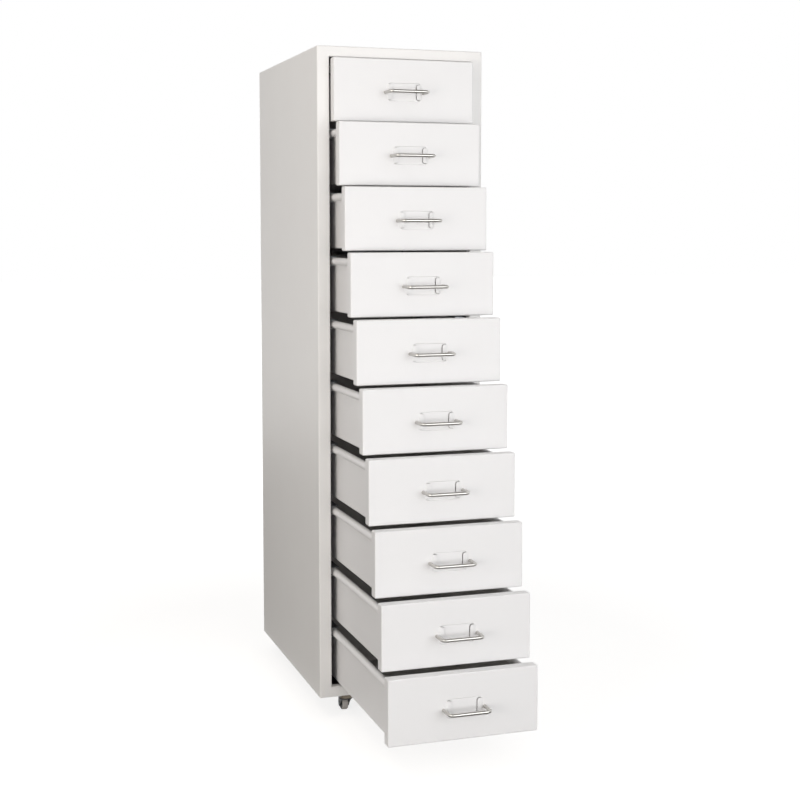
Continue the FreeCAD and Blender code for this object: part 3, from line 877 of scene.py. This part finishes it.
# It brightens with the distance from the cabinet, until it meets the surround.
away = add_node(floor_paint, "ShaderNodeVectorMath", {"operation": "LENGTH"}, Vector=floor_place)
level = add_node(floor_paint, "ShaderNodeMapRange",
                 {"From Min": dim_floor_radius, "From Max": bright_floor_radius,
                  "To Min": dim_floor_glow, "To Max": 1}, Value=away.outputs["Value"])
lift = add_node(floor_paint, "ShaderNodeMath", {"operation": "MULTIPLY"},
                _0=seen_directly(floor_paint), _1=level.outputs["Result"])
feed(floor_paint, lift.outputs[0], paint, "Emission Strength")
floor.data.materials.append(floor_paint)

world = bpy.data.worlds.new("white_surround")
bpy.context.scene.world = world
world.use_nodes = True
sky = world.node_tree.nodes["Background"]
sky.inputs["Color"].default_value = (1, 1, 1, 1)
strength = add_node(world, "ShaderNodeMapRange", {"To Min": surround_fill, "To Max": 1},
                    Value=seen_directly(world))
feed(world, strength.outputs["Result"], sky, "Strength")


def add_lamp(name, place, target, width, height, power, colour):
    """A large soft rectangular lamp that faces a target."""
    deselect()
    bpy.ops.object.light_add(type="AREA", location=place)
    lamp = bpy.context.object
    lamp.name = name
    lamp.data.shape = "RECTANGLE"
    lamp.data.size = width
    lamp.data.size_y = height
    lamp.data.energy = power
    lamp.data.color = colour
    lamp.rotation_mode = "QUATERNION"
    lamp.rotation_quaternion = (Vector(target) - Vector(place)).to_track_quat("-Z", "Y")


# The front lamps are a little cool and the left ones warm.
cool = (0.975, 0.985, 1)
warm = (1, 0.957, 0.91)
warmer = (1, 0.92, 0.84)
add_lamp("key_lamp", (2.0, -4.7, 1.15), (0.3, 0, 0.7), 5.0, 2.8, 66, cool)
add_lamp("front_high_lamp", (1.2, -4.4, 3.4), (0.1, -0.2, 0.5), 5.0, 3.0, 31, cool)
add_lamp("front_low_lamp", (0.4, -3.0, 0.55), (0, -0.5, 0.2), 3.0, 1.0, 14, cool)
add_lamp("left_low_lamp", (-2.4, -2.0, 0.55), (0, 0, 0.45), 1.4, 1.4, 30.5, warm)
add_lamp("left_high_lamp", (-1.0, -0.7, 2.1), (0, 0, 0.9), 0.7, 0.7, 4.6, warmer)


def add_flag(name, low, high, height, colour):
    """A matt level card that only reflections see: it puts a darker edge on bright metal."""
    deselect()
    middle = (Vector(low) + Vector(high)) / 2
    bpy.ops.mesh.primitive_plane_add(size=1, location=(middle.x, middle.y, height))
    bpy.context.object.scale = (high[0] - low[0], high[1] - low[1], 1)
    flag = settle(bpy.context.object, name)
    card = bpy.data.materials.new(name + "_card")
    card.use_nodes = True
    surface = card.node_tree.nodes["Principled BSDF"]
    surface.inputs["Base Color"].default_value = linear(colour)
    surface.inputs["Roughness"].default_value = matt
    flag.data.materials.append(card)
    flag.visible_camera = False
    flag.visible_diffuse = False
    flag.visible_shadow = False
    flag.visible_transmission = False


just_above_floor = 1 * MM
add_flag("front_flag", (-1.0, -2.6), (1.6, -0.45), just_above_floor, "#6b6864")
add_flag("left_flag", (-2.6, -0.7), (-0.17, 2.8), just_above_floor, "#5a5753")
add_flag("upper_flag", (-1.4, -1.9), (1.4, 0.9), 2.3, "#8a8784")


# -------------------------------------------------------------------- camera
# The camera stands at the left of the front, at three quarters of the
# cabinet's height, and looks a little down.
camera_place = (-0.72697, -2.40483, 0.80255)
camera_turn = 0.3188
camera_pitch = 0.0857
picture_pixels = 800
focal_pixels = 1417.3
sensor_width = 36
vertical_shift = -0.06
bpy.ops.object.camera_add(location=camera_place,
                          rotation=(math.pi / 2 - camera_pitch, 0, -camera_turn))
camera = bpy.context.object
camera.name = "camera"
camera.data.sensor_width = sensor_width
camera.data.lens = focal_pixels / picture_pixels * sensor_width
camera.data.shift_y = vertical_shift
camera.data.clip_start = 0.05
camera.data.clip_end = 60
bpy.context.scene.camera = camera
bpy.context.scene.view_settings.view_transform = "Standard"
